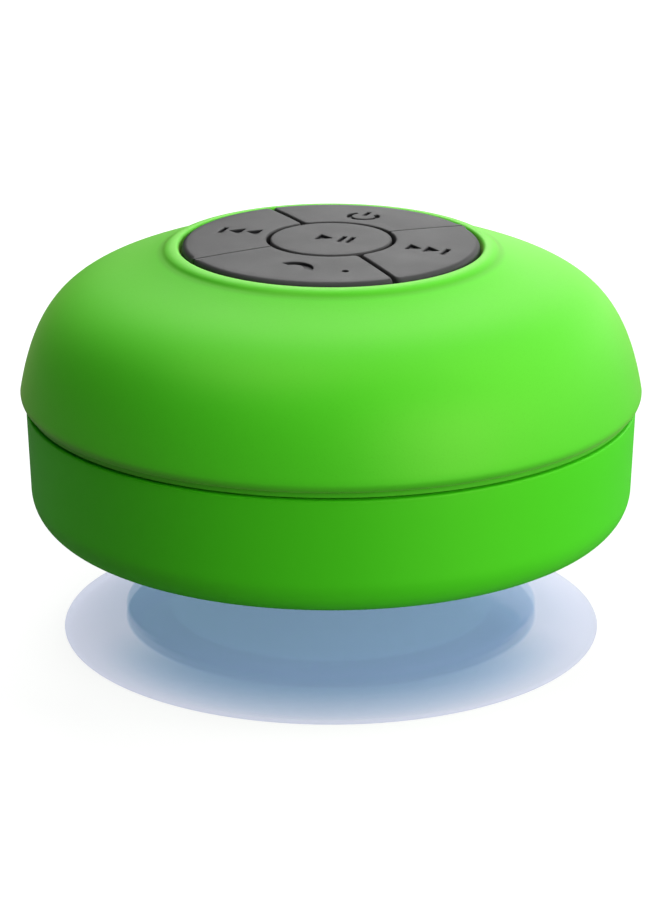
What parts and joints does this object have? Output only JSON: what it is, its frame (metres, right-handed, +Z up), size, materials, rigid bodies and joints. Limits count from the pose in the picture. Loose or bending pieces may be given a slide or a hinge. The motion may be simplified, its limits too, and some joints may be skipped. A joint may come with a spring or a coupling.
{
  "type": "shower speaker",
  "caption": "Round waterproof speaker with a domed soft cover, a flush keypad of a round key and sector keys on top, and a suction cup below.",
  "frame": {"origin": "centre of the plane that the suction cup's rim rests on", "axes": "+Z up through the keypad, +Y to the back, towards the charging port and the power key, +X to the right"},
  "size_m": [0.086, 0.086, 0.0562],
  "materials": {
    "green_silicone": "matte soft-touch silicone, fine grain",
    "green_plastic": "soft-touch paint over ABS",
    "grey_rubber": "matte silicone keys with debossed marks",
    "clear_vinyl": "glossy translucent soft vinyl, slightly blue",
    "white_plastic": "moulded ABS",
    "black_rubber": "matte",
    "black_plastic": "moulded",
    "circuit_board": "solder mask over glass laminate",
    "steel": "plated",
    "ferrite": "sintered, satin",
    "cone_paper": "pressed paper pulp",
    "copper": "enamelled winding wire",
    "foam": "open foam and woven mesh",
    "cell_foil": "pouch cell laminate",
    "wire_red": "insulated wire"
  },
  "bodies": {
    "housing": {"dome_cover": "green_silicone", "upper_shell": "black_plastic", "base_shell": "green_plastic", "shell_seal": "black_rubber", "housing_screw_1": "steel", "housing_screw_2": "steel", "housing_screw_3": "steel", "housing_screw_4": "steel", "screw_plug_1": "green_silicone", "screw_plug_2": "green_silicone", "screw_plug_3": "green_silicone", "screw_plug_4": "green_silicone", "keypad_web": "grey_rubber", "main_board": "circuit_board", "play_switch": "steel", "power_switch": "steel", "next_switch": "steel", "call_switch": "steel", "previous_switch": "steel", "audio_chip": "black_plastic", "microphone": "steel", "status_led": "white_plastic", "board_screw_1": "steel", "board_screw_2": "steel", "board_screw_3": "steel", "battery": "cell_foil", "battery_pad": "foam", "battery_lead": "wire_red", "charge_board": "circuit_board", "charge_socket": "steel", "charge_lead": "wire_red", "flap_tether": "green_silicone", "driver_gasket": "foam", "driver_surround": "black_rubber", "driver_frame": "steel", "driver_spider": "foam", "driver_top_plate": "steel", "driver_magnet": "ferrite", "driver_yoke": "steel", "driver_lead": "wire_red", "sound_mesh": "foam"},
    "play_key": {"play_key": "grey_rubber"},
    "power_key": {"power_key": "grey_rubber"},
    "next_key": {"next_key": "grey_rubber"},
    "call_key": {"call_key": "grey_rubber"},
    "previous_key": {"previous_key": "grey_rubber"},
    "play_plunger": {"play_plunger": "black_plastic"},
    "power_plunger": {"power_plunger": "black_plastic"},
    "next_plunger": {"next_plunger": "black_plastic"},
    "call_plunger": {"call_plunger": "black_plastic"},
    "previous_plunger": {"previous_plunger": "black_plastic"},
    "cup_hub": {"cup_hub": "green_plastic", "hub_seal": "black_rubber", "hub_washer": "steel", "hub_screw": "steel"},
    "suction_cup": {"suction_cup": "clear_vinyl"},
    "port_flap": {"port_flap": "green_silicone"},
    "driver_cone": {"driver_cone": "cone_paper", "dust_cap": "cone_paper", "voice_coil": "copper"}
  },
  "joints": [
    {"name": "play_press", "type": "slide", "parent": "housing", "child": "play_key", "axis": [0, 0, -1], "range_m": [0, 0.0005], "stiffness_N_per_m": 40},
    {"name": "play_click", "type": "slide", "parent": "housing", "child": "play_plunger", "axis": [0, 0, -1], "range_m": [0, 0.00025]},
    {"name": "power_press", "type": "slide", "parent": "housing", "child": "power_key", "axis": [0, 0, -1], "range_m": [0, 0.0005], "stiffness_N_per_m": 40},
    {"name": "power_click", "type": "slide", "parent": "housing", "child": "power_plunger", "axis": [0, 0, -1], "range_m": [0, 0.00025]},
    {"name": "next_press", "type": "slide", "parent": "housing", "child": "next_key", "axis": [0, 0, -1], "range_m": [0, 0.0005], "stiffness_N_per_m": 40},
    {"name": "next_click", "type": "slide", "parent": "housing", "child": "next_plunger", "axis": [0, 0, -1], "range_m": [0, 0.00025]},
    {"name": "call_press", "type": "slide", "parent": "housing", "child": "call_key", "axis": [0, 0, -1], "range_m": [0, 0.0005], "stiffness_N_per_m": 40},
    {"name": "call_click", "type": "slide", "parent": "housing", "child": "call_plunger", "axis": [0, 0, -1], "range_m": [0, 0.00025]},
    {"name": "previous_press", "type": "slide", "parent": "housing", "child": "previous_key", "axis": [0, 0, -1], "range_m": [0, 0.0005], "stiffness_N_per_m": 40},
    {"name": "previous_click", "type": "slide", "parent": "housing", "child": "previous_plunger", "axis": [0, 0, -1], "range_m": [0, 0.00025]},
    {"name": "cup_swivel", "type": "hinge", "parent": "housing", "child": "cup_hub", "pos_m": [0, 0, 0.0145], "axis": [0, 0, 1], "continuous": true},
    {"name": "cup_press", "type": "slide", "parent": "cup_hub", "child": "suction_cup", "axis": [0, 0, 1], "range_m": [0, 0.005], "stiffness_N_per_m": 2500, "deforming": ["suction_cup"]},
    {"name": "flap_hinge", "type": "hinge", "parent": "housing", "child": "port_flap", "pos_m": [-0.0069, 0.0416, 0.027], "axis": [0, 0, 1], "range_deg": [0, 110]},
    {"name": "cone_travel", "type": "slide", "parent": "housing", "child": "driver_cone", "axis": [0, 0, 1], "range_m": [-0.0012, 0.0012], "stiffness_N_per_m": 600, "deforming": ["driver_surround", "driver_spider"]}
  ],
  "couplings": [
    {"joint": "play_click", "follows": "play_press", "ratio": 0.5},
    {"joint": "power_click", "follows": "power_press", "ratio": 0.5},
    {"joint": "next_click", "follows": "next_press", "ratio": 0.5},
    {"joint": "call_click", "follows": "call_press", "ratio": 0.5},
    {"joint": "previous_click", "follows": "previous_press", "ratio": 0.5}
  ]
}
